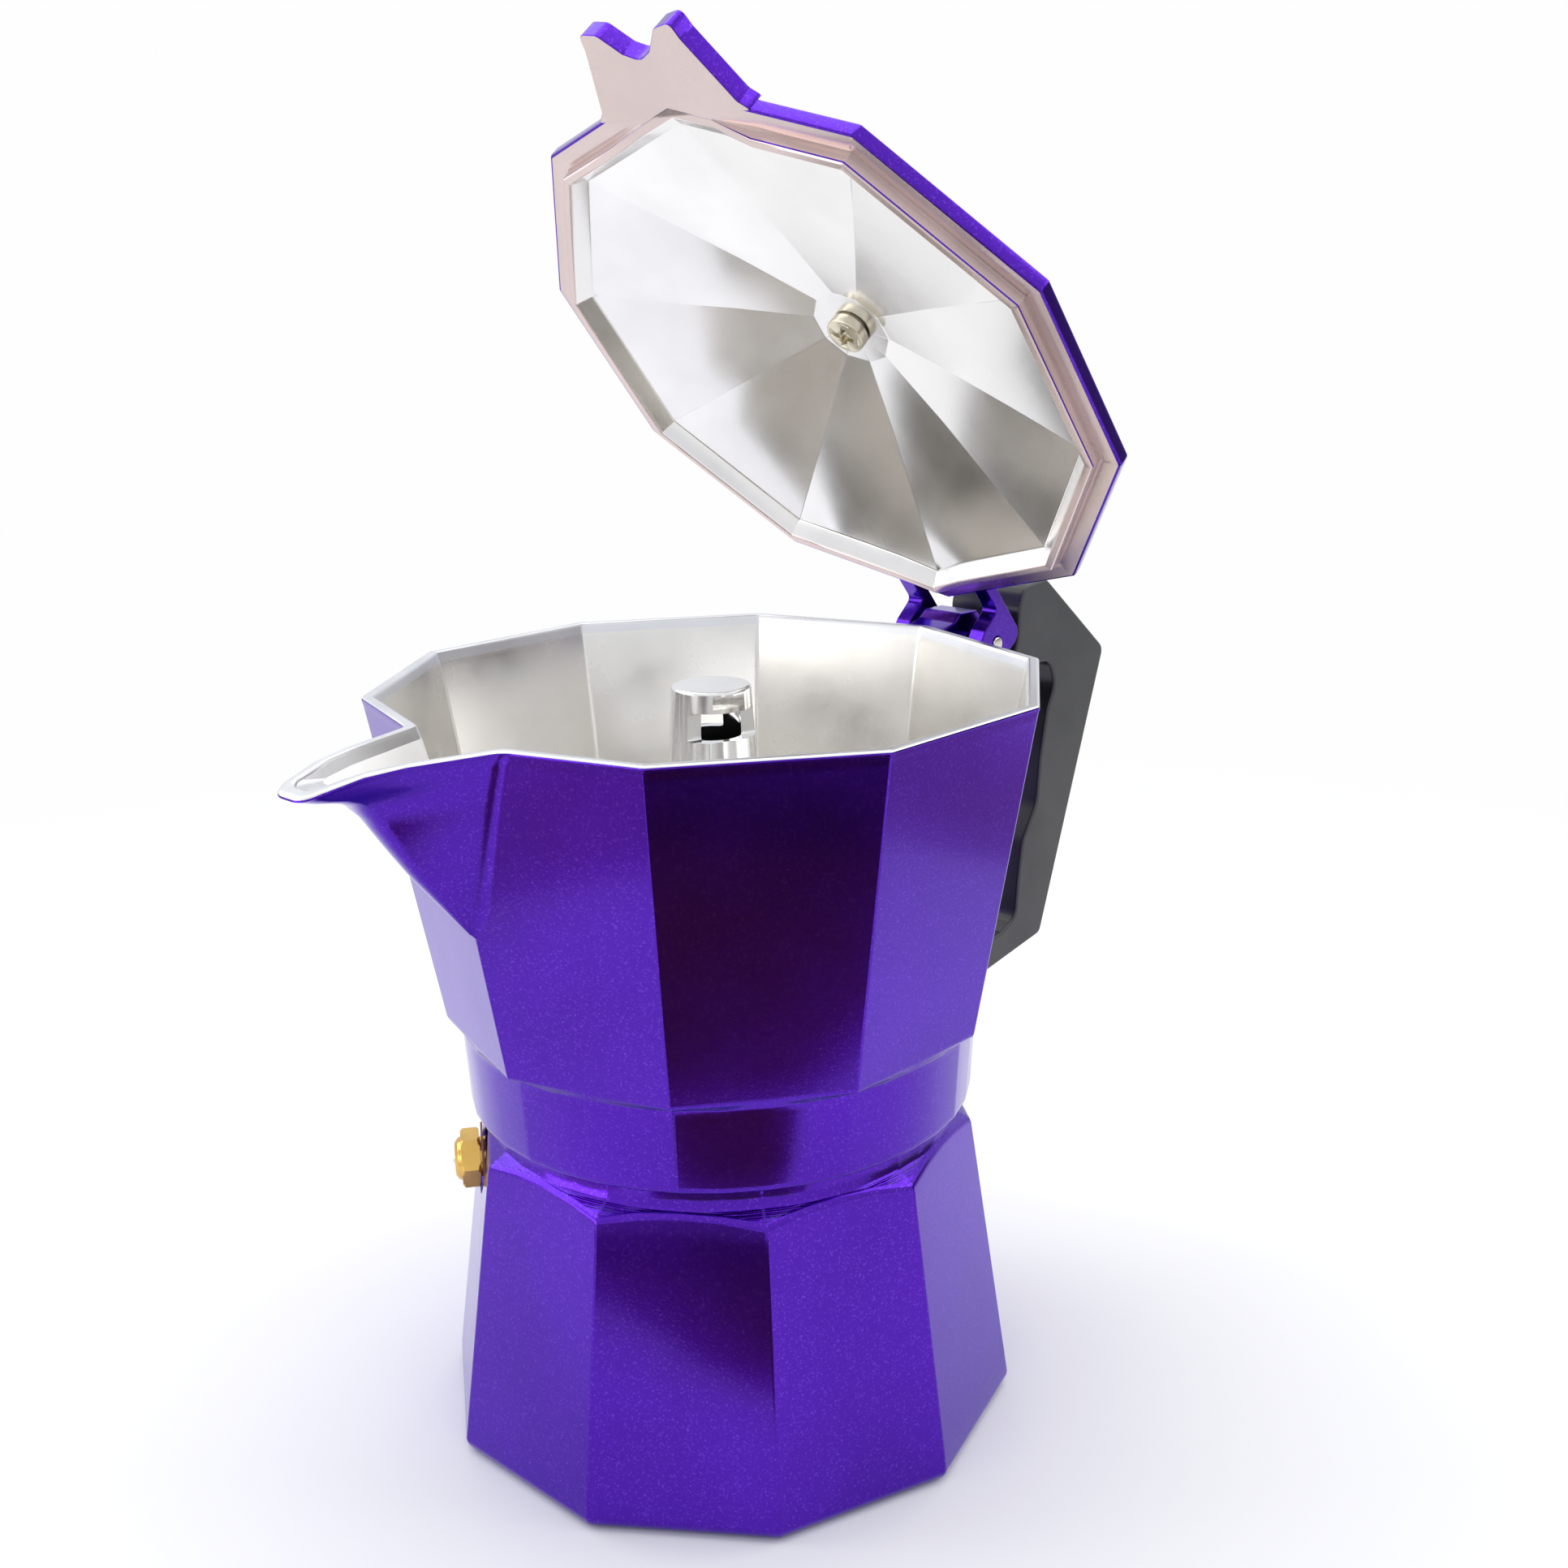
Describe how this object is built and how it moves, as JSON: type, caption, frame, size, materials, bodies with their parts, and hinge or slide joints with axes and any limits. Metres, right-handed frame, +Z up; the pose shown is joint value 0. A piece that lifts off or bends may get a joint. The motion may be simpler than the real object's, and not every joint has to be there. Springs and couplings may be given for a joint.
{
  "type": "moka pot",
  "caption": "Stove-top espresso maker: faceted boiler with safety valve, screwed-on pouring jug with riser column, hinged lid with knob, side handle, gasket, filter plate and coffee funnel.",
  "frame": {"origin": "centre of the boiler's flat underside, on the boiler axis", "axes": "+Z up along the boiler axis, -X towards the spout, +X towards the hinge and handle"},
  "size_m": [0.167, 0.0976, 0.2095],
  "materials": {
    "boiler_lacquer": "violet metallic lacquer outside, bare aluminium inside",
    "collector_lacquer": "violet metallic lacquer outside, bare aluminium inside",
    "lid_lacquer": "violet metallic lacquer on top, bare aluminium underneath",
    "aluminium": "satin, as cast or turned",
    "brass": "polished",
    "steel": "nickel-plated steel",
    "charcoal_plastic": "fine satin grain",
    "gasket_rubber": "matt silicone",
    "fibre": "matt pressed fibre"
  },
  "bodies": {
    "boiler": {"boiler_body": "boiler_lacquer", "valve_body": "brass", "valve_washer": "fibre", "valve_retainer": "brass", "valve_spring": "steel", "funnel_body": "aluminium", "funnel_screen": "aluminium"},
    "seal": {"gasket": "gasket_rubber", "filter_plate": "aluminium"},
    "collector": {"collector_body": "collector_lacquer", "riser_column": "aluminium", "hinge_pin": "steel", "handle": "charcoal_plastic", "handle_pin": "steel"},
    "lid": {"lid_shell": "lid_lacquer", "knob": "charcoal_plastic", "knob_insert": "brass", "knob_screw": "steel"},
    "relief": {"valve_plunger": "steel"}
  },
  "joints": [
    {"name": "collector_rise", "type": "slide", "parent": "boiler", "child": "seal", "axis": [0, 0, 1], "range_m": [0, 0.006]},
    {"name": "collector_unscrew", "type": "hinge", "parent": "seal", "child": "collector", "pos_m": [0, 0, 0], "axis": [0, 0, 1], "range_deg": [0, 720]},
    {"name": "lid_hinge", "type": "hinge", "parent": "collector", "child": "lid", "pos_m": [0.0582, 0, 0.1148], "axis": [0, 1, 0], "range_deg": [-50.8, 48]},
    {"name": "valve_relief", "type": "slide", "parent": "boiler", "child": "relief", "axis": [-0.809, 0.5878, 0], "range_m": [0, 0.0012], "stiffness_N_per_m": 3000, "springref_m": -0.002, "deforming": ["valve_spring"]}
  ],
  "couplings": [
    {"joint": "collector_rise", "follows": "collector_unscrew", "m_per_rad": 0.00047746}
  ]
}
